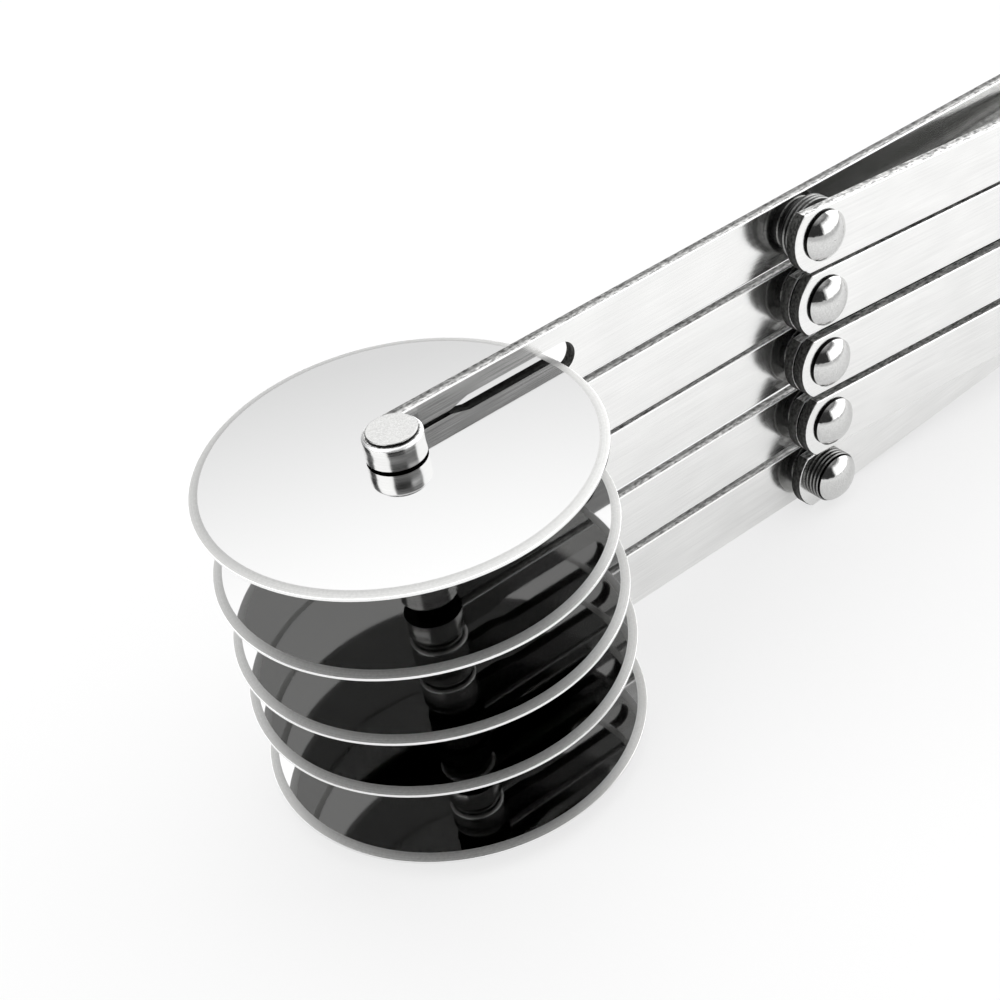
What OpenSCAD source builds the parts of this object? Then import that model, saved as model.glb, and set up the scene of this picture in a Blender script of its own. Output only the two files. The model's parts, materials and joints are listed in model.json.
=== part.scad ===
// Expandable dough cutter: cutting wheels on flat steel arms, spread by a lazy-tongs
// frame of crossed links. It stands folded on the edge of its lowest arm.
// X runs rearward along the arms, Z up along the axles, and the rivet heads face -Y.

/* [Cutting wheels] */
// Number of arms, each with its wheel
arm_count = 5; // [3:1:5]
// Diameter of a cutting wheel
wheel_d = 55; // [45:1:65]
// Thickness of a cutting wheel
wheel_t = 1; // [0.8:0.1:1.4]
// Radial width of the bevel ground at the rim
bevel_w = 1.3; // [0.8:0.1:2.5]
// Thickness left at the cutting rim
rim_t = 0.4; // [0.2:0.05:0.6]

/* [Strip steel] */
// Width of the strip that the arms are cut from
arm_w = 9.9; // [9:0.1:12]
// How much narrower the links are than the arms
link_trim = 0.1; // [0:0.05:0.6]
// Thickness of the strip
strip_t = 1.8; // [1.4:0.1:2.2]
// Radius along the edges of the strip
edge_r = 0.25; // [0.1:0.05:0.4]
// Radius that the ends of a rolled knuckle are dressed to
knuckle_edge = 0.5; // [0.25:0.05:0.7]
// From a pivot to the crowned end of its strip
end_r = 6; // [5.8:0.1:7.5]

/* [Arms and links] */
// From the axle to the front pivot of an arm
front_reach = 74; // [65:0.5:100]
// Between the front and rear pivots of a link
link_len = 144; // [110:1:180]
// Space between the edges of neighbouring arms when folded
side_gap = 1.2; // [1:0.05:2.5]
// Angle of the links to the arms when fully spread
open_angle = 55; // [35:1:60]

/* [Wheel slot] */
// Width of the slit through the knuckle
slit_w = 3; // [2.4:0.1:3.6]
// From the axle to the end of the slit
slit_len = 10.4; // [8:0.1:14]
// Width of the slot behind the slit
slot_w = 4.6; // [3.8:0.1:5.5]
// Length over which the slit widens to the slot
flare_len = 2.9; // [1.5:0.1:4]
// From the wheel's rim to the round end of the slot
rim_room = 3.9; // [2.5:0.1:6]

/* [Axle pins] */
// Diameter of an axle pin
axle_d = 4.5; // [3.8:0.1:5.4]
// Diameter of the pin's flat head
axle_head_d = 7; // [6.4:0.1:7.6]
// Height of the pin's flat head
axle_head_h = 0.45; // [0.3:0.05:0.5]
// Depth of the countersink that the pin's lower end is peened into
peen_h = 0.6; // [0.4:0.1:0.9]

/* [Rivets and washers] */
// Diameter of a rivet's shank
rivet_d = 4; // [3.2:0.1:4.6]
// Diameter of a rivet's domed head
head_d = 7.8; // [6.8:0.1:8.4]
// Height of a rivet's domed head
head_h = 2.1; // [1.5:0.1:2.6]
// Chamfer under the edge of a domed head or tail
head_edge = 0.2; // [0.1:0.05:0.25]
// Height of the straight rim above that chamfer
head_rim = 0.15; // [0.1:0.05:0.25]
// Diameter of the low tail behind an arm
tail_d = 6.6; // [5.8:0.1:7.4]
// Height of the low tail behind an arm
tail_h = 0.8; // [0.6:0.1:1.2]
// Depth of the flush tail of a cross rivet
flush_h = 0.8; // [0.5:0.1:1]
// Diameter of the washers between layers
washer_d = 8.4; // [7.6:0.1:9.4]
// Diameter of the wide washers that stand in for a link
wide_washer_d = 10.2; // [9:0.1:11]
// Washers in a stack that stands in for a link
stack_count = 3; // [2:1:4]
// Chamfer on the outer edges of a thick washer
washer_edge = 0.15; // [0.1:0.05:0.25]
// Thickness of the washer behind an arm's long slot
slide_washer_t = 0.5; // [0.4:0.05:0.8]

/* [Clearances] */
// Space that a spacer washer fills between an arm and its inner link
arm_space = 1.5; // [1:0.1:2.4]
// Space that a thin washer fills between an inner and an outer link
link_space = 0.3; // [0.25:0.05:0.8]
// Radial clearance of pins in their holes
pin_fit = 0.05; // [0.03:0.01:0.1]
// Clearance between flat faces that turn on each other
face_gap = 0.05; // [0.03:0.01:0.08]
// Clearance of a rear rivet in the width of its slot, each side
slide_fit = 0.1; // [0.06:0.02:0.2]
// Clearance past a rear rivet at each end of its travel
stop_gap = 0.2; // [0.1:0.05:0.4]
// Opening at the seam where the rolled end meets the arm
seam_gap = 0.3; // [0.1:0.05:0.5]

/* [Hidden] */
$fn = 96;

// Each list runs from the lowest arm or link up.
// Where each wheel has slid to on its pin, as a share of its play
wheel_slide = [-0.63, 0.32, -0.73, -0.58, 0.65];
// How far each wheel's slot is cut off the middle of its arm, as a share of the arm's width
slot_shift = [-0.08, 0, -0.1, -0.05, 0];
// How far each arm's strip lies off its pivots, as a share of the side gap
arm_shift = [-0.3, -0.2, 0.2, -0.2, -0.1];
// How far each outer link's strip lies off its pivots, as a share of the side gap
link_shift = [0, 0, 0.2, -0.35];

// The fold: links lie at fold_angle to the arms, which stand one pitch apart
link_w = arm_w - link_trim;
pitch = arm_w + side_gap;
fold_angle = asin(pitch / link_len);
link_count = arm_count - 1;

// Distances along an arm, from its axle
rear_reach = front_reach + link_len * cos(fold_angle);
open_reach = front_reach + link_len * cos(open_angle);
arm_end = rear_reach + end_r;
slot_end = wheel_d / 2 + rim_room;

// The axles' place, which puts the middle of the folded cutter over the origin
axle_x = (wheel_d / 2 - arm_end) / 2;

// The knuckle is the strip itself, rolled round the pin
bore_r = axle_d / 2 + pin_fit;
knuckle_r = bore_r + strip_t;
seam_angle = asin((bore_r - seam_gap) / knuckle_r);

// Front faces of the three layers of strip, from the arms towards the rivet heads
arm_y = knuckle_r - strip_t;
inner_back = arm_y - arm_space;
inner_y = inner_back - strip_t;
outer_back = inner_y - link_space;
outer_y = outer_back - strip_t;

// Holes for the rivets, and the radius of a cross rivet's flush tail
hole_r = rivet_d / 2 + pin_fit;
flush_r = rivet_d / 2 + flush_h;

steel = "gainsboro";
mirror_steel = "whitesmoke";
washer_steel = "darkgray";

// Height of an arm's middle above its pivots
function arm_off(j) = arm_shift[(j - 1) % len(arm_shift)] * side_gap;

// Height of an arm's pivots, with the lowest arm's edge on z = 0
function arm_z(j) = arm_w / 2 - arm_off(1) + (j - 1) * pitch;

// Pair k of links crosses half-way between the pivot rows, between arms k and k + 1
function cross_x() = front_reach + link_len / 2 * cos(fold_angle);
function cross_z(k) = (arm_z(k) + arm_z(k + 1)) / 2;

// Puts a piece at distance x along an arm, at height z
module on_arm(x, z) {
  translate([axle_x + x, 0, z]) children();
}

// Turns a revolved piece on to a rivet's axis, with its own height along +Y
module along_y() {
  rotate([-90, 0, 0]) children();
}

// Rectangle from x = 0 and centred on y = 0, with rounded corners
module rounded_rect(x_size, y_size, r) {
  translate([r, -y_size / 2]) square([x_size - 2 * r, y_size]);
  translate([0, r - y_size / 2]) square([x_size, y_size - 2 * r]);
  for (x = [r, x_size - r], side = [-1, 1])
    translate([x, side * (y_size / 2 - r)]) circle(r);
}

// Straight length of strip along X, with its front face on y = 0
module flat_strip(length, width) {
  rotate([90, 0, 90]) linear_extrude(length) rounded_rect(strip_t, width, edge_r);
}

// Disc that crowns the end of a strip about its pivot
module crown() {
  along_y() rotate_extrude() {
    square([end_r - edge_r, strip_t]);
    translate([0, edge_r]) square([end_r, strip_t - 2 * edge_r]);
    for (y = [edge_r, strip_t - edge_r])
      translate([end_r - edge_r, y]) circle(edge_r);
  }
}

// Space about a strip of a given width, up to a distance along it
module up_to(length, width) {
  translate([0, -strip_t, -width]) cube([length, 3 * strip_t, 2 * width]);
}

// Hole for a rivet through one layer of strip
module rivet_hole(x) {
  translate([x, -strip_t, 0]) along_y() cylinder(r = hole_r, h = 3 * strip_t);
}

// Link with a crown round each end pivot and holes at its ends and middle
module link_bar(off = 0) {
  difference() {
    intersection() {
      translate([-end_r, 0, off]) flat_strip(link_len + 2 * end_r, link_w);
      union() {
        up_to(link_len, link_w);
        for (x = [0, link_len]) translate([x, 0, 0]) crown();
      }
    }
    for (x = [0, link_len / 2, link_len]) rivet_hole(x);
  }
}

// Outline of the slot that the wheel turns in: slit, flare and round-ended slot
module wheel_slot() {
  round_x = slot_end - slot_w / 2;
  flare_x = slit_len + flare_len;
  front_x = -2 * knuckle_r;
  polygon([
    [front_x, -slit_w / 2],
    [slit_len, -slit_w / 2],
    [flare_x, -slot_w / 2],
    [round_x, -slot_w / 2],
    [round_x, slot_w / 2],
    [flare_x, slot_w / 2],
    [slit_len, slit_w / 2],
    [front_x, slit_w / 2]
  ]);
  translate([round_x, 0]) circle(slot_w / 2);
}

// Outline of the long slot that a rear rivet slides in
module slide_slot() {
  half_w = rivet_d / 2 + slide_fit;
  from_x = open_reach - stop_gap + slide_fit;
  to_x = rear_reach + stop_gap - slide_fit;
  translate([from_x, -half_w]) square([to_x - from_x, 2 * half_w]);
  for (x = [from_x, to_x]) translate([x, 0]) circle(half_w);
}

// Wheel arm: one strip, rolled into a knuckle round the axle pin at its front end
module wheel_arm(j) {
  off = arm_off(j);
  slot_z = off + slot_shift[(j - 1) % len(slot_shift)] * arm_w;
  color(steel) on_arm(0, arm_z(j)) difference() {
    union() {
      translate([0, arm_y, 0]) intersection() {
        translate([0, 0, off]) flat_strip(arm_end, arm_w);
        union() {
          up_to(rear_reach, arm_w);
          translate([rear_reach, 0, 0]) crown();
        }
      }
      translate([0, 0, off]) rotate([0, 0, 90]) rotate_extrude(angle = 270 + seam_angle)
        translate([bore_r, 0]) rounded_rect(strip_t, arm_w, knuckle_edge);
    }
    translate([0, arm_y, 0]) rivet_hole(front_reach);
    translate([0, 2 * knuckle_r, 0]) rotate([90, 0, 0]) linear_extrude(4 * knuckle_r) {
      translate([0, slot_z]) wheel_slot();
      slide_slot();
    }
    translate([0, 0, off - arm_w / 2]) peen_cone(pin_fit);
  }
}

// Countersunk lower end of an axle pin, grown by its clearance
module peen_cone(clearance) {
  r = axle_d / 2 + clearance;
  cylinder(r1 = r + peen_h, r2 = r, h = peen_h);
}

// Axle pin: flat head on top, lower end peened flush into the knuckle
module axle_pin(j) {
  color(steel) on_arm(0, arm_z(j) + arm_off(j)) {
    translate([0, 0, -arm_w / 2]) {
      cylinder(d = axle_d, h = arm_w + axle_head_h);
      peen_cone(0);
    }
    translate([0, 0, arm_w / 2 + face_gap]) pin_head(axle_head_h - face_gap);
  }
}

// Flat round head with a half-round rim, which leaves a crevice under it
module pin_head(h) {
  rotate_extrude() half_round(axle_head_d / 2, h);
}

// Half of a disc's section: from x = 0 to r, from y = 0 to h, with a half-round rim
module half_round(r, h) {
  square([r - h / 2, h]);
  translate([r - h / 2, h / 2]) circle(h / 2);
}

// Cutting wheel: thin disc with its rim bevelled from both faces
module cutting_wheel(j) {
  i = (j - 1) % len(wheel_slide);
  play = (slit_w - wheel_t) / 2;
  wheel_z = arm_z(j) + arm_off(j) + slot_shift[i] * arm_w + wheel_slide[i] * play;
  flat_r = wheel_d / 2 - bevel_w;
  color(mirror_steel) on_arm(0, wheel_z) rotate_extrude() polygon([
    [bore_r, -wheel_t / 2],
    [flat_r, -wheel_t / 2],
    [wheel_d / 2, -rim_t / 2],
    [wheel_d / 2, rim_t / 2],
    [flat_r, wheel_t / 2],
    [bore_r, wheel_t / 2]
  ]);
}

// Domed cap of a given diameter and height, chamfered under its edge and based on z = 0
module dome(d, h) {
  rim_top = head_edge + head_rim;
  cap_h = h - rim_top;
  ball_r = (d * d / 4 + cap_h * cap_h) / (2 * cap_h);
  rotate_extrude() {
    polygon([[0, 0], [d / 2 - head_edge, 0], [d / 2, head_edge], [d / 2, rim_top], [0, rim_top]]);
    intersection() {
      translate([0, h - ball_r]) circle(ball_r);
      translate([0, rim_top]) square([d, cap_h]);
    }
  }
}

// Rivet with its domed head before y = head_y and its shank back to y = end_y
module domed_rivet(head_y, end_y) {
  translate([0, head_y, 0]) {
    rotate([90, 0, 0]) dome(head_d, head_h);
    along_y() cylinder(d = rivet_d, h = end_y - head_y);
  }
}

// Low domed tail that closes a rivet behind y = seat_y
module low_tail(seat_y) {
  translate([0, seat_y, 0]) along_y() dome(tail_d, tail_h);
}

// Washers of one diameter that fill the space from y = front_y to y = back_y
module washers(front_y, back_y, d, count = 1) {
  step = (back_y - front_y - face_gap) / count;
  t = step - face_gap;
  edge = min(washer_edge, t / 4);
  for (i = [0:count - 1])
    translate([0, front_y + face_gap + i * step, 0]) along_y() rotate_extrude() polygon([
      [hole_r, 0],
      [d / 2 - edge, 0],
      [d / 2, edge],
      [d / 2, t - edge],
      [d / 2 - edge, t],
      [hole_r, t]
    ]);
}

// Front rivet: holds an arm between its two links
module front_rivet(j) {
  color(steel) on_arm(front_reach, arm_z(j)) {
    domed_rivet(outer_y - face_gap, knuckle_r + tail_h / 2);
    low_tail(knuckle_r + face_gap);
  }
}

// Front washers: one between each two layers, and a stack where an end arm lacks a link
module front_washers(j) {
  color(washer_steel) on_arm(front_reach, arm_z(j)) {
    washers(inner_back, arm_y, washer_d);
    if (j > 1 && j < arm_count)
      washers(outer_back, inner_y, washer_d);
    if (j == 1)
      washers(outer_y - face_gap, inner_y, washer_d, stack_count);
    if (j == arm_count)
      washers(outer_back, inner_back + face_gap, wide_washer_d, stack_count);
  }
}

// Rear rivet: joins two links and slides in the long slot of an arm
module rear_rivet(j) {
  tail_y = knuckle_r + slide_washer_t + 2 * face_gap;
  color(steel) on_arm(rear_reach, arm_z(j)) {
    domed_rivet(outer_y - face_gap, tail_y + tail_h / 2);
    low_tail(tail_y);
  }
}

// Rear washers: as at the front, with one more behind the slot, under the tail
module rear_washers(j) {
  color(washer_steel) on_arm(rear_reach, arm_z(j)) {
    washers(knuckle_r, knuckle_r + slide_washer_t + 2 * face_gap, washer_d);
    washers(inner_back, arm_y, washer_d);
    if (j > 1 && j < arm_count)
      washers(outer_back, inner_y, washer_d);
    if (j == 1)
      washers(outer_back, inner_back + face_gap, wide_washer_d, stack_count);
    if (j == arm_count)
      washers(outer_y - face_gap, inner_y, washer_d, stack_count);
  }
}

// Inner link: rises rearward from arm k, countersunk behind for the cross rivet's tail
module inner_link(k) {
  color(steel) on_arm(front_reach, arm_z(k)) translate([0, inner_y, 0])
    rotate([0, -fold_angle, 0]) difference() {
      link_bar();
      translate([link_len / 2, strip_t, 0]) flush_cone(pin_fit);
    }
}

// Outer link: falls rearward from arm k + 1, in front of the inner link
module outer_link(k) {
  off = link_shift[(k - 1) % len(link_shift)] * side_gap;
  color(steel) on_arm(front_reach, arm_z(k + 1)) translate([0, outer_y, 0])
    rotate([0, fold_angle, 0]) link_bar(off);
}

// Countersunk tail that ends flush with y = 0, grown by its clearance
module flush_cone(clearance) {
  translate([0, -flush_h, 0]) along_y()
    cylinder(r1 = rivet_d / 2 + clearance, r2 = flush_r + clearance, h = flush_h);
}

// Cross rivet: domed in front, flush behind, because the arms pass behind it
module cross_rivet(k) {
  color(steel) on_arm(cross_x(), cross_z(k)) {
    domed_rivet(outer_y - face_gap, inner_back);
    translate([0, inner_back, 0]) flush_cone(0);
  }
}

// Cross washer: keeps a crossed pair of links apart
module cross_washer(k) {
  color(washer_steel) on_arm(cross_x(), cross_z(k))
    washers(outer_back, inner_y, washer_d);
}

for (j = [1:arm_count]) {
  wheel_arm(j);
  cutting_wheel(j);
  axle_pin(j);
  front_rivet(j);
  front_washers(j);
  rear_rivet(j);
  rear_washers(j);
}
for (k = [1:link_count]) {
  inner_link(k);
  outer_link(k);
  cross_rivet(k);
  cross_washer(k);
}
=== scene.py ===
import json
import math

import bpy
from mathutils import Matrix, Vector


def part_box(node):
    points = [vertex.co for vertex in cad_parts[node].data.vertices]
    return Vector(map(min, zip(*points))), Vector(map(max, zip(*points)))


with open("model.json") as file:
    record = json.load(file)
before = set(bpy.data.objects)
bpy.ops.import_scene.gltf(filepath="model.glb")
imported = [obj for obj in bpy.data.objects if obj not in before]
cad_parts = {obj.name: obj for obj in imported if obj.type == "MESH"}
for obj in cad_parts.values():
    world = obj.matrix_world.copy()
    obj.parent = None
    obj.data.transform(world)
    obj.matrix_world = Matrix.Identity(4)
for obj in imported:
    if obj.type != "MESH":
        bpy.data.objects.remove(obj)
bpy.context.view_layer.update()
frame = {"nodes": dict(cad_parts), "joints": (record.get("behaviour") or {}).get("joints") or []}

# Wheel arms: flat stainless strip, cold rolled, buffed on its broad faces and sheared to width.
# The front end is rolled into a knuckle round the axle pin, and the slots for the wheel and for
# the rear rivet are punched through.
MM = 0.001
nodes = frame["nodes"]
joints = {joint["name"]: joint for joint in frame["joints"]}
arms = sorted(name for name in nodes if name.startswith("wheel_arm"))
arm_low, arm_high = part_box(arms[0])
lowest_arm_z = (arm_low.z + arm_high.z) / 2
fold_pivot = Vector(joints["fold"]["pos_m"])
link_crossing = Vector(joints["cross_1_turn"]["pos_m"])
arm_pitch = 2 * (link_crossing.z - fold_pivot.z)
link_low, link_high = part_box("outer_link_1")
strip_thickness = link_high.y - link_low.y
arm_front_y = arm_high.y - strip_thickness
arm_slope = 0
knuckle_margin = 2 * MM
knuckle_back_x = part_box("axle_pin_1")[1].x + knuckle_margin
slot_reach = 3.8 * MM

strip_face = "#FAFAF9"
# Painted highlight: the arris between face and sheared edge, near white.
arris_highlight = "#FCFCFC"
# Painted shade: the cropped ends, near black.
cropped_end_shade = "#3C3C3B"
# Painted shade: the walls of the punched slots, near black.
slot_wall_shade = "#3A3A39"
arm_back = "#F4F4F3"
arm_land = "#A2A2A1"
arm_fracture = "#7E7E7D"

# Real buffing lines lie about 0.03 mm apart; they are drawn coarser to show in the render
buff_line_spacing = 0.22 * MM
buff_line_length = 14 * MM
buff_line_depth = 0.007 * MM
roller_wave_length = 9 * MM
roller_wave_width = 4 * MM
roller_wave_depth = 0.045 * MM
knuckle_wave_depth = 0.45 * MM
# The grain of a real sheared edge is about 0.1 mm; it is drawn coarser to show in the render
shear_grain = 0.42 * MM
shear_grain_length = 2 * shear_grain
shear_grain_roughness = 0.65
noise_roughness = 0.5
tear_depth = 0.06 * MM
tear_raggedness = 0.5

# Spans that the patterns and zones go by: of a noise, of a depth or of a share of the normal
noise_span = (0.3, 0.7)
grain_span = (0.36, 0.66)
sparkle_span = (0.35, 0.7)
tear_span = (0.62, 0.78)
arris_span = (0.15, 0.4)
edge_span = (0.9, 0.98)
cropped_span = (0.3, 0.6)
back_facing = 0.9

# What a pattern does to a colour, as a factor, and to the roughness
streak_tones = (0.94, 1.02)
mottle_tones = (0.97, 1.02)
grain_tones = (0.3, 1.7)
sparkle_tones = (0.4, 2.6)
face_roughness = (0.14, 0.22)
edge_roughness = (0.45, 0.7)


def linear(hex_colour):
    """The linear RGBA of an sRGB hex colour."""
    channels = [int(hex_colour[i:i + 2], 16) / 255 for i in (1, 3, 5)]
    return [c / 12.92 if c <= 0.04045 else ((c + 0.055) / 1.055) ** 2.4 for c in channels] + [1]


def add(tree, kind, inputs=(), **settings):
    """Adds a shader node with its settings. Its inputs go by order or, in a dict, by name, and
    each is a value or the socket that feeds it."""
    made = tree.nodes.new("ShaderNode" + kind)
    for name, value in settings.items():
        setattr(made, name, value)
    if not isinstance(inputs, dict):
        inputs = dict(enumerate(inputs))
    for socket, value in inputs.items():
        if isinstance(value, bpy.types.NodeSocket):
            tree.links.new(value, made.inputs[socket])
        else:
            made.inputs[socket].default_value = value
    return made


def new_metal(name):
    """A metal's material, with its node tree and its main shader."""
    material = bpy.data.materials.new(name)
    material.use_nodes = True
    shader = material.node_tree.nodes["Principled BSDF"]
    shader.inputs["Metallic"].default_value = 1
    return material, material.node_tree, shader


def dress(material, names):
    """Gives CAD nodes their material."""
    for name in names:
        nodes[name].data.materials.clear()
        nodes[name].data.materials.append(material)


def strip_patterns(tree, place, slope):
    """The buffing lines, the rollers' slow wave and the grain of the sheared edges."""
    along = add(tree, "Mapping", {"Vector": place, "Rotation": (0, slope, 0)}).outputs[0]
    patterns = []
    for cells_per_metre, detail, roughness in (
        ((1 / buff_line_length, 0, 1 / buff_line_spacing), 2, noise_roughness),
        ((1 / roller_wave_length, 0, 1 / roller_wave_width), 1, noise_roughness),
        ((1 / shear_grain_length, 1 / shear_grain, 1 / shear_grain), 3, shear_grain_roughness),
    ):
        cells = add(tree, "VectorMath", (along, cells_per_metre), operation="MULTIPLY").outputs[0]
        noise = add(tree, "TexNoise", {"Vector": cells, "Scale": 1, "Detail": detail, "Roughness": roughness})
        patterns.append(noise.outputs["Fac"])
    return patterns


def strip_zones(tree, spot, normal):
    """Where a strip lies behind its knuckle, and where it has an arris, an edge or a cropped end."""
    behind = add(tree, "Math", (spot["X"], knuckle_back_x), operation="GREATER_THAN").outputs[0]
    end_on = add(tree, "Math", (normal["X"], behind), operation="MULTIPLY").outputs[0]
    sideways = add(tree, "CombineXYZ", {"X": end_on, "Z": normal["Z"]}).outputs[0]
    sideways = add(tree, "VectorMath", [sideways], operation="LENGTH").outputs["Value"]
    end_on = add(tree, "Math", [end_on], operation="ABSOLUTE").outputs[0]
    zones = [behind]
    for share, span in ((sideways, arris_span), (sideways, edge_span), (end_on, cropped_span)):
        zone = add(tree, "MapRange", (share, *span), interpolation_type="SMOOTHSTEP")
        zones.append(zone.outputs[0])
    return zones


def sheared_edge(tree, spot, grain, front_y, land, fracture, slotted):
    """The colour of an edge that the shear left with a smooth land in front and a torn, granular
    zone behind it, and how far it is torn. The walls of punched slots are painted darker, as shade
    in the slots."""
    depth = add(tree, "MapRange", (spot["Y"], front_y, front_y + strip_thickness)).outputs[0]
    ragged = add(tree, "Math", (grain, tear_raggedness, depth), operation="MULTIPLY_ADD").outputs[0]
    torn = add(tree, "MapRange", (ragged, *tear_span), interpolation_type="SMOOTHSTEP").outputs[0]
    colour = add(tree, "Mix", {"Factor": torn, "A": linear(land), "B": linear(fracture)},
                 data_type="RGBA").outputs["Result"]
    if slotted:
        lowest, highest = lowest_arm_z - arm_pitch / 2, lowest_arm_z + arm_pitch / 2
        # Painted shade on the walls of the slots, near the middle of each arm's height.
        slot_shade = add(tree, "Math", (spot["Z"], lowest, highest), operation="WRAP").outputs[0]
        slot_shade = add(tree, "Math", (slot_shade, lowest_arm_z, slot_reach), operation="COMPARE").outputs[0]
        colour = add(tree, "Mix", {"Factor": slot_shade, "A": colour, "B": linear(slot_wall_shade)},
                     data_type="RGBA").outputs["Result"]
    grainy = add(tree, "MapRange", (grain, *grain_span, *grain_tones)).outputs[0]
    colour = add(tree, "VectorMath", (colour, grainy), operation="MULTIPLY").outputs[0]
    return colour, torn


def buffed_strip(name, slope, front_y, land, fracture, back, slotted=False):
    """Buffed stainless strip: near-white faces with faint lengthwise lines and a slow wave, and
    grey sheared edges with a painted highlight along the arris between face and edge. The cropped
    ends are painted near black as shade, with their grain lifted into painted glints. The back, left
    as rolled, is painted darker than the front: a little on the arms, and much darker on the links,
    as shade between them and the arms."""
    material, tree, shader = new_metal(name)
    place = add(tree, "TexCoord").outputs
    spot = add(tree, "SeparateXYZ", [place["Object"]]).outputs
    normal = add(tree, "SeparateXYZ", [place["Normal"]]).outputs
    lines, wave, grain = strip_patterns(tree, place["Object"], slope)
    behind, arris, edge, cropped = strip_zones(tree, spot, normal)
    sheared, torn = sheared_edge(tree, spot, grain, front_y, land, fracture, slotted)

    # The back is painted darker than the front: slightly on the arms, and on the links much darker, as
    # painted shade between them and the arms.
    rear = add(tree, "Math", (normal["Y"], back_facing), operation="GREATER_THAN").outputs[0]
    colour = add(tree, "Mix", {"Factor": rear, "A": linear(strip_face), "B": linear(back)},
                 data_type="RGBA").outputs["Result"]
    streaks = add(tree, "MapRange", (lines, *noise_span, *streak_tones)).outputs[0]
    mottle = add(tree, "MapRange", (wave, *noise_span, *mottle_tones)).outputs[0]
    streaks = add(tree, "Math", (streaks, mottle), operation="MULTIPLY").outputs[0]
    colour = add(tree, "VectorMath", (colour, streaks), operation="MULTIPLY").outputs[0]
    # Painted shade on the cropped ends, with their grain lifted into painted glints.
    sparkle = add(tree, "MapRange", (grain, *sparkle_span, *sparkle_tones)).outputs[0]
    end_shade = add(tree, "VectorMath", (linear(cropped_end_shade)[:3], sparkle), operation="MULTIPLY").outputs[0]
    # The arris gets its painted highlight and the cropped ends their painted shade.
    for zone, zone_colour in ((arris, linear(arris_highlight)), (edge, sheared), (cropped, end_shade)):
        colour = add(tree, "Mix", {"Factor": zone, "A": colour, "B": zone_colour},
                     data_type="RGBA").outputs["Result"]

    face_rough = add(tree, "MapRange", (lines, *noise_span, *face_roughness)).outputs[0]
    edge_rough = add(tree, "MapRange", (torn, 0, 1, *edge_roughness)).outputs[0]
    rough = add(tree, "Mix", {"Factor": arris, "A": face_rough, "B": edge_rough}).outputs["Result"]

    wave_depth = add(tree, "MapRange", (behind, 0, 1, knuckle_wave_depth, roller_wave_depth)).outputs[0]
    swell = add(tree, "Math", (wave, wave_depth), operation="MULTIPLY").outputs[0]
    tear = add(tree, "Math", (grain, edge), operation="MULTIPLY").outputs[0]
    bump = add(tree, "Bump", {"Height": swell, "Distance": 1, "Strength": 1}).outputs[0]
    for height, depth in ((lines, buff_line_depth), (tear, tear_depth)):
        relief = {"Height": height, "Distance": depth, "Strength": 1, "Normal": bump}
        bump = add(tree, "Bump", relief).outputs[0]
    tree.links.new(colour, shader.inputs["Base Color"])
    tree.links.new(rough, shader.inputs["Roughness"])
    tree.links.new(bump, shader.inputs["Normal"])
    return material


arm_strip = buffed_strip("buffed_stainless_arm", arm_slope, arm_front_y, arm_land, arm_fracture, arm_back,
                         slotted=True)
dress(arm_strip, arms)

# Cutting wheels: discs of stainless sheet, turned to a round and polished to a mirror, with a
# narrow bevel ground on both sides of the rim. Each turns on its pin, in the slot of its arm.
wheels = sorted(name for name in nodes if name.startswith("cutting_wheel"))
wheel_low, wheel_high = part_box(wheels[0])
wheel_radius = (wheel_high.x - wheel_low.x) / 2
wheel_axle = Vector(((wheel_high.x + wheel_low.x) / 2, 0, 0))
bevel_width = 1.3 * MM
rim_width = 0.05 * MM
wheel_face = "#B3B3B3"
# Painted shade: the wheels' lower faces are darker than their upper faces.
wheel_underside_shade = "#959594"
wheel_bevel = "#BCBCBB"
# Painted highlight: a bright line along the rim.
wheel_rim_highlight = "#F6F6F6"
# Real grinding lines lie about 0.02 mm apart; they and the grit's marks are drawn coarser to show
grinding_line = 0.12 * MM
grit_mark = 0.35 * MM
grit_share = 0.5
smear_size = 9 * MM
smear_span = (0.35, 0.75)
ground_tones = (0.78, 1.12)
outward_tones = (0.86, 1.16)
mirror_roughness = (0.02, 0.05)
ground_roughness = (0.42, 0.56)
rim_roughness = 0.2


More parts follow.
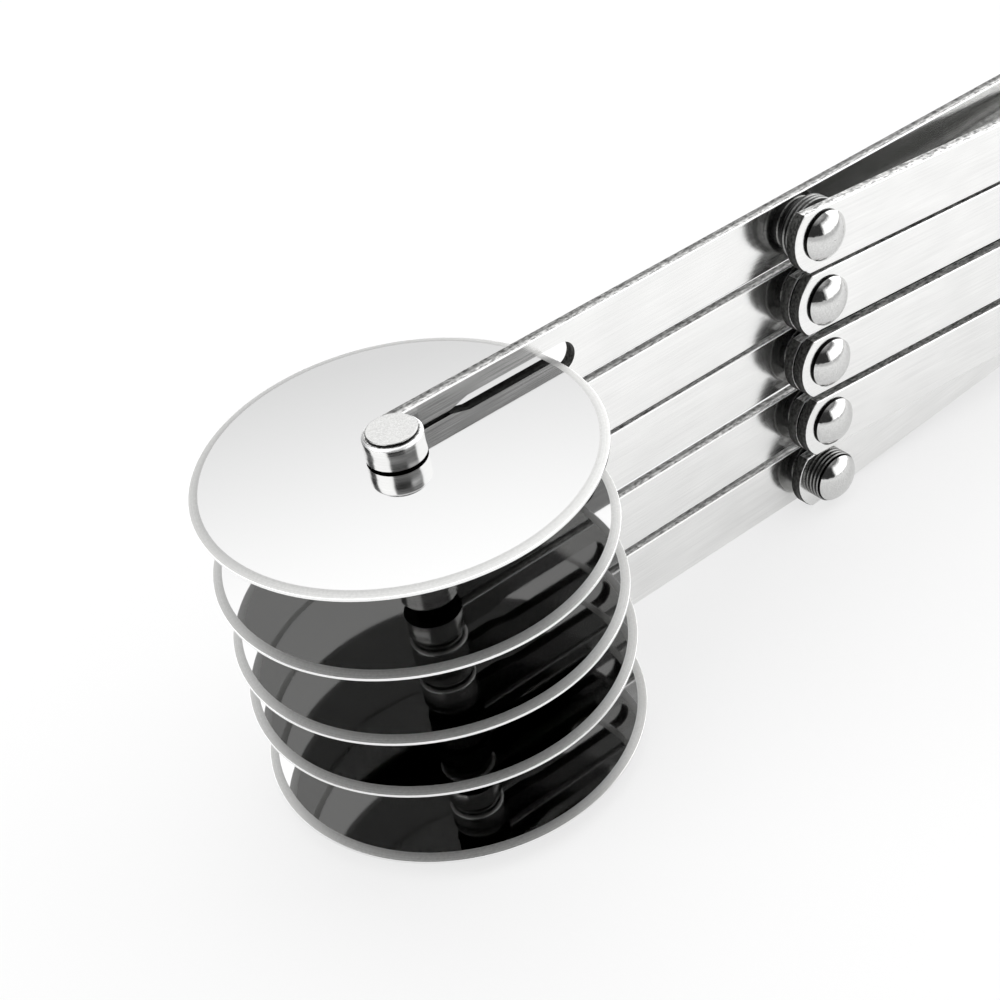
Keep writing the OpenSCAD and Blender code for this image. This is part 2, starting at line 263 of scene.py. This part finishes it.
def polished_wheel():
    """Mirror-polished stainless: dark or bright as what it reflects, with a satin ground
    bevel, a painted highlight as a bright line along the rim and painted shade on the lower faces."""
    material, tree, shader = new_metal("mirror_polished_stainless")
    place = add(tree, "TexCoord").outputs
    from_axle = add(tree, "VectorMath", (place["Object"], wheel_axle), operation="SUBTRACT").outputs[0]
    flat = add(tree, "VectorMath", (from_axle, (1, 1, 0)), operation="MULTIPLY").outputs[0]
    radius = add(tree, "VectorMath", [flat], operation="LENGTH").outputs["Value"]
    bevel_at = wheel_radius - bevel_width
    bevel = add(tree, "Math", (radius, bevel_at), operation="GREATER_THAN").outputs[0]
    rim = add(tree, "Math", (radius, wheel_radius - rim_width), operation="GREATER_THAN").outputs[0]

    rings = add(tree, "Math", (radius, 1 / grinding_line), operation="MULTIPLY").outputs[0]
    rings = add(tree, "TexNoise", {"W": rings, "Scale": 1, "Detail": 2}, noise_dimensions="1D").outputs["Fac"]
    grit = add(tree, "TexNoise", {"Vector": flat, "Scale": 1 / grit_mark, "Detail": 3}).outputs["Fac"]
    ground = add(tree, "Mix", {"Factor": grit_share, "A": rings, "B": grit}).outputs["Result"]
    smears = add(tree, "TexNoise", {"Vector": flat, "Scale": 1 / smear_size, "Detail": 3}).outputs["Fac"]

    ground_tone = add(tree, "MapRange", (ground, *noise_span, *ground_tones)).outputs[0]
    outward = add(tree, "MapRange", (radius, bevel_at, wheel_radius, *outward_tones)).outputs[0]
    ground_tone = add(tree, "Math", (ground_tone, outward), operation="MULTIPLY").outputs[0]
    satin = add(tree, "VectorMath", (linear(wheel_bevel)[:3], ground_tone), operation="MULTIPLY").outputs[0]
    facing = add(tree, "SeparateXYZ", [place["Normal"]]).outputs["Z"]
    # Painted shade on the lower faces.
    underside_shade = add(tree, "Math", (facing, 0), operation="LESS_THAN").outputs[0]
    colour = linear(wheel_face)
    for zone, zone_colour in ((underside_shade, linear(wheel_underside_shade)), (bevel, satin), (rim, linear(wheel_rim_highlight))):
        colour = add(tree, "Mix", {"Factor": zone, "A": colour, "B": zone_colour},
                     data_type="RGBA").outputs["Result"]

    rough = add(tree, "MapRange", (smears, *smear_span, *mirror_roughness)).outputs[0]
    ground_rough = add(tree, "MapRange", (ground, *noise_span, *ground_roughness)).outputs[0]
    for zone, zone_rough in ((bevel, ground_rough), (rim, rim_roughness)):
        rough = add(tree, "Mix", {"Factor": zone, "A": rough, "B": zone_rough}).outputs["Result"]
    tree.links.new(colour, shader.inputs["Base Color"])
    tree.links.new(rough, shader.inputs["Roughness"])
    return material


dress(polished_wheel(), wheels)

# Axle pins: stainless wire with a flat head, tumbled bright. Each stands in the knuckle of its
# arm, through its wheel, with the head on the knuckle's upper end.
pins = sorted(name for name in nodes if name.startswith("axle_pin"))
pin_low, pin_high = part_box(pins[0])
pin_length = pin_high.z - pin_low.z
pin_head_height = 0.45 * MM
# The top of each pin head, this share of its height, is left without painted shade.
unshaded_share = 0.3
pin_wire = "#B2B2B1"
# Painted shade: near black on all of a pin below the top of its head and at the foot of each rivet head.
foot_shade_colour = "#161616"
pin_roughness = 0.2
dent_size = 0.9 * MM
dent_depth = 0.02 * MM
dent_roughness = 0.08
speck_size = dent_size / 4
speck_span = (0.35, 0.65)
speck_tones = (0.9, 1.06)


def pin_foot_shade(tree, place):
    """All of a pin below the upper part of its head: where the shade is painted."""
    up_pin = add(tree, "SeparateXYZ", [place["Generated"]]).outputs["Z"]
    shaded_below = 1 - unshaded_share * pin_head_height / pin_length
    return add(tree, "Math", (up_pin, shaded_below), operation="LESS_THAN").outputs[0]


def tumbled_wire(name, wire, roughness, shade_of):
    """Headed stainless wire, tumbled: bright and a little uneven, with faint soft dents, and
    near black at the foot of each head, as painted shade."""
    material, tree, shader = new_metal(name)
    place = add(tree, "TexCoord").outputs
    spot = place["Object"]
    dents = add(tree, "TexNoise", {"Vector": spot, "Scale": 1 / dent_size, "Detail": 2}).outputs["Fac"]
    specks = add(tree, "TexNoise", {"Vector": spot, "Scale": 1 / speck_size, "Detail": 3}).outputs["Fac"]
    tone = add(tree, "MapRange", (specks, *speck_span, *speck_tones)).outputs[0]
    colour = add(tree, "VectorMath", (linear(wire)[:3], tone), operation="MULTIPLY").outputs[0]
    # Painted shade at the foot of each head.
    colour = add(tree, "Mix", {"Factor": shade_of(tree, place), "A": colour, "B": linear(foot_shade_colour)},
                 data_type="RGBA").outputs["Result"]
    rough = add(tree, "MapRange", (dents, *noise_span, roughness, roughness + dent_roughness)).outputs[0]
    bump = add(tree, "Bump", {"Height": dents, "Distance": dent_depth, "Strength": 1}).outputs[0]
    tree.links.new(colour, shader.inputs["Base Color"])
    tree.links.new(rough, shader.inputs["Roughness"])
    tree.links.new(bump, shader.inputs["Normal"])
    return material


dress(tumbled_wire("tumbled_stainless_pin", pin_wire, pin_roughness, pin_foot_shade), pins)

# Links: the arms' strip, buffed in front and left as rolled behind, with painted shade on their
# backs. They lie in two layers in front of the arms, cross each other like lazy tongs and turn
# on their rivets.
# Painted shade: the links' backs face the arms and are much darker than their fronts.
link_back_shade = "#B0B0AF"
# Painted light: the links' sheared edges are lighter than the arms' same edges, to lift the shade in the gaps
# between the links.
link_land_painted_light = "#CECECD"
link_fracture_painted_light = "#B4B4B3"
fold_slope = math.atan2(link_crossing.z - fold_pivot.z, link_crossing.x - fold_pivot.x)
for layer, slope in (("inner_link", fold_slope), ("outer_link", -fold_slope)):
    links = sorted(name for name in nodes if name.startswith(layer))
    front_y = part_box(links[0])[0].y
    strip = buffed_strip("buffed_stainless_" + layer, slope, front_y, link_land_painted_light, link_fracture_painted_light, link_back_shade)
    dress(strip, links)

# Washers: rings stamped from stainless sheet, between the layers on every rivet, and in
# stacks where an end arm has one link fewer.
washers = sorted(name for name in nodes if "_washer" in name)
# Painted shade: the washers' faces and walls are dark; their rounded edges carry a painted highlight.
washer_face_shade = "#424241"
washer_wall_shade = "#282828"
washer_edge_highlight = "#9A9A99"
washer_edge_highlight_span = (0.2, 0.45)
washer_face_span = (0.85, 0.97)
washer_tones = (0.8, 1.15)
washer_roughness = (0.24, 0.36)
washer_grain_depth = 0.003 * MM


def stamped_washer():
    """Stamped stainless sheet with a fine tumbled grain: dark grey faces and darker walls, painted as
    shade, and a painted highlight on the rounded edges, as thin rings."""
    material, tree, shader = new_metal("stamped_stainless_washer")
    place = add(tree, "TexCoord").outputs
    across = add(tree, "SeparateXYZ", [place["Normal"]]).outputs["Y"]
    across = add(tree, "Math", [across], operation="ABSOLUTE").outputs[0]
    colour = linear(washer_wall_shade)
    for span, zone_colour in ((washer_edge_highlight_span, washer_edge_highlight), (washer_face_span, washer_face_shade)):
        zone = add(tree, "MapRange", (across, *span), interpolation_type="SMOOTHSTEP").outputs[0]
        colour = add(tree, "Mix", {"Factor": zone, "A": colour, "B": linear(zone_colour)},
                     data_type="RGBA").outputs["Result"]
    grain = add(tree, "TexNoise", {"Vector": place["Object"], "Scale": 1 / shear_grain, "Detail": 3})
    grain = grain.outputs["Fac"]
    tone = add(tree, "MapRange", (grain, *noise_span, *washer_tones)).outputs[0]
    colour = add(tree, "VectorMath", (colour, tone), operation="MULTIPLY").outputs[0]
    rough = add(tree, "MapRange", (grain, *noise_span, *washer_roughness)).outputs[0]
    bump = add(tree, "Bump", {"Height": grain, "Distance": washer_grain_depth, "Strength": 1}).outputs[0]
    tree.links.new(colour, shader.inputs["Base Color"])
    tree.links.new(rough, shader.inputs["Roughness"])
    tree.links.new(bump, shader.inputs["Normal"])
    return material


dress(stamped_washer(), washers)

# Rivets: stainless wire, tumbled bright, with a domed head in front and a low tail behind. They
# hold arms, links and washers together; the rear ones slide in the arms' slots.
rivets = sorted(name for name in nodes if "_rivet_" in name)
head_foot_y = link_low.y
rivet_wire = "#DADAD9"
rivet_roughness = 0.06
# Painted shade on the steep side of each rivet head.
rivet_foot_shade_span = (-0.6, -0.3)


def rivet_foot_shade(tree, place):
    """The steep side of a rivet's head, next to the piece that the head lies on, where shade is painted."""
    to_back = add(tree, "SeparateXYZ", [place["Normal"]]).outputs["Y"]
    foot = add(tree, "MapRange", (to_back, *rivet_foot_shade_span), interpolation_type="SMOOTHSTEP").outputs[0]
    depth = add(tree, "SeparateXYZ", [place["Object"]]).outputs["Y"]
    on_head = add(tree, "Math", (depth, head_foot_y), operation="LESS_THAN").outputs[0]
    return add(tree, "Math", (foot, on_head), operation="MULTIPLY").outputs[0]


dress(tumbled_wire("tumbled_stainless_rivet", rivet_wire, rivet_roughness, rivet_foot_shade), rivets)

# Floor: a plain white sweep of card that the cutter stands on. Seen directly or in the steel, it
# is partly a white glow, so that it reads as white and keeps the shadow. In the steel the glow
# fades away from the cutter, as the pool of light on a table does.
floor_size = 8
floor_card = "#E6E6E6"
floor_white = "#FFFFFF"
card_roughness = 0.9
floor_glow = 0.72
mirrored_glow = 0.5
pool_span = (80 * MM, 260 * MM)
pool_glow = (1, 0.25)
corner = floor_size / 2
corners = [(-corner, -corner, 0), (corner, -corner, 0), (corner, corner, 0), (-corner, corner, 0)]
floor_mesh = bpy.data.meshes.new("floor")
floor_mesh.from_pydata(corners, [], [range(len(corners))])
floor = bpy.data.objects.new("floor", floor_mesh)
bpy.context.scene.collection.objects.link(floor)
card = bpy.data.materials.new("white_card")
card.use_nodes = True
sheet = card.node_tree
matt = sheet.nodes["Principled BSDF"]
matt.inputs["Base Color"].default_value = linear(floor_card)
matt.inputs["Roughness"].default_value = card_roughness
matt.inputs["Specular IOR Level"].default_value = 0
ray = add(sheet, "LightPath").outputs
mirrored = add(sheet, "Math", (ray["Is Glossy Ray"], ray["Is Transmission Ray"]), operation="MAXIMUM")
mirrored = add(sheet, "Math", (mirrored.outputs[0], mirrored_glow), operation="MULTIPLY").outputs[0]
glow_share = add(sheet, "Math", (ray["Is Camera Ray"], floor_glow, mirrored), operation="MULTIPLY_ADD")
table = add(sheet, "TexCoord").outputs["Object"]
aside = add(sheet, "SeparateXYZ", [table]).outputs["Y"]
aside = add(sheet, "Math", [aside], operation="ABSOLUTE").outputs[0]
pool = add(sheet, "MapRange", (aside, *pool_span, *pool_glow), interpolation_type="SMOOTHSTEP").outputs[0]
pool = add(sheet, "Math", (pool, ray["Is Camera Ray"]), operation="MAXIMUM").outputs[0]
white = add(sheet, "Emission", {"Color": linear(floor_white), "Strength": pool}).outputs[0]
surface = add(sheet, "MixShader", (glow_share.outputs[0], matt.outputs[0], white)).outputs[0]
sheet.links.new(surface, sheet.nodes["Material Output"].inputs["Surface"])
floor_mesh.materials.append(card)

# Studio light: a dim room with soft white panels round the table, and a white backdrop that only
# the camera sees. A panel has its azimuth from +X and half its width, its elevation and half its
# height, the width of its soft border, all in degrees, and its radiance.
room_white = "#FFFFFF"
room_radiance = 0.04
backdrop_radiance = 1
panels = {
    "left softbox": (174, 34, 36, 26, 8, 2.2),
    "back softbox": (60, 30, 38, 30, 14, 1.5),
    "back core": (60, 40, 54, 24.4, 28, 2.35),
    "right softbox": (4, 42, 28, 28, 8, 2.2),
    "right low card": (-55, 33, 10, 21.5, 14, 1.7),
    "overhead": (0, 180, 90, 43, 40, 1.1),
}
world = bpy.data.worlds.new("studio")
bpy.context.scene.world = world
world.use_nodes = True
sky = world.node_tree
toward = add(sky, "TexCoord").outputs["Generated"]
height = add(sky, "SeparateXYZ", [toward]).outputs["Z"]
height = add(sky, "Math", [height], operation="ARCSINE").outputs[0]
light = room_radiance
for azimuth, half_width, elevation, half_height, border, radiance in panels.values():
    turn_back = {"Vector": toward, "Angle": -math.radians(azimuth)}
    level = add(sky, "VectorRotate", turn_back, rotation_type="Z_AXIS").outputs[0]
    level = add(sky, "SeparateXYZ", [level]).outputs
    sideways = add(sky, "Math", (level["Y"], level["X"]), operation="ARCTAN2").outputs[0]
    upward = add(sky, "Math", (height, math.radians(elevation)), operation="SUBTRACT").outputs[0]
    glow = radiance
    for angle, half in ((sideways, half_width), (upward, half_height)):
        angle = add(sky, "Math", [angle], operation="ABSOLUTE").outputs[0]
        fade = (math.radians(half + border / 2), math.radians(half - border / 2), 0, 1)
        inside = add(sky, "MapRange", (angle, *fade), interpolation_type="SMOOTHSTEP").outputs[0]
        glow = add(sky, "Math", (inside, glow), operation="MULTIPLY").outputs[0]
    light = add(sky, "Math", (glow, light), operation="MAXIMUM").outputs[0]
to_camera = add(sky, "LightPath").outputs["Is Camera Ray"]
light = add(sky, "Mix", {"Factor": to_camera, "A": light, "B": backdrop_radiance}).outputs["Result"]
sky.links.new(light, sky.nodes["Background"].inputs["Strength"])
sky.nodes["Background"].inputs["Color"].default_value = linear(room_white)

# Camera: close, above and before the wheels, and turned a little on its axis. It stands where a
# fit to the rims, edges and rivet heads put it.
camera_place = Vector((-184.627, -168.603, 185.317)) * MM
camera_azimuth = math.radians(-30.7825)
camera_elevation = math.radians(37.4503)
camera_roll = math.radians(-10.8617)
camera_lens = 64.9175
camera_sensor = 36
camera_clip = 10 * MM
back = Vector((math.sin(camera_azimuth) * math.cos(camera_elevation),
               -math.cos(camera_azimuth) * math.cos(camera_elevation), math.sin(camera_elevation)))
right = back.cross(Vector((0, 0, -1))).normalized()
up = back.cross(right)
turn = Matrix((right, up, back)).transposed() @ Matrix.Rotation(camera_roll, 3, "Z")
camera = bpy.data.objects.new("camera", bpy.data.cameras.new("camera"))
camera.data.lens = camera_lens
camera.data.sensor_width = camera_sensor
camera.data.clip_start = camera_clip
camera.matrix_world = Matrix.Translation(camera_place) @ turn.to_4x4()
bpy.context.scene.collection.objects.link(camera)
bpy.context.scene.camera = camera
bpy.context.scene.view_settings.view_transform = "Standard"
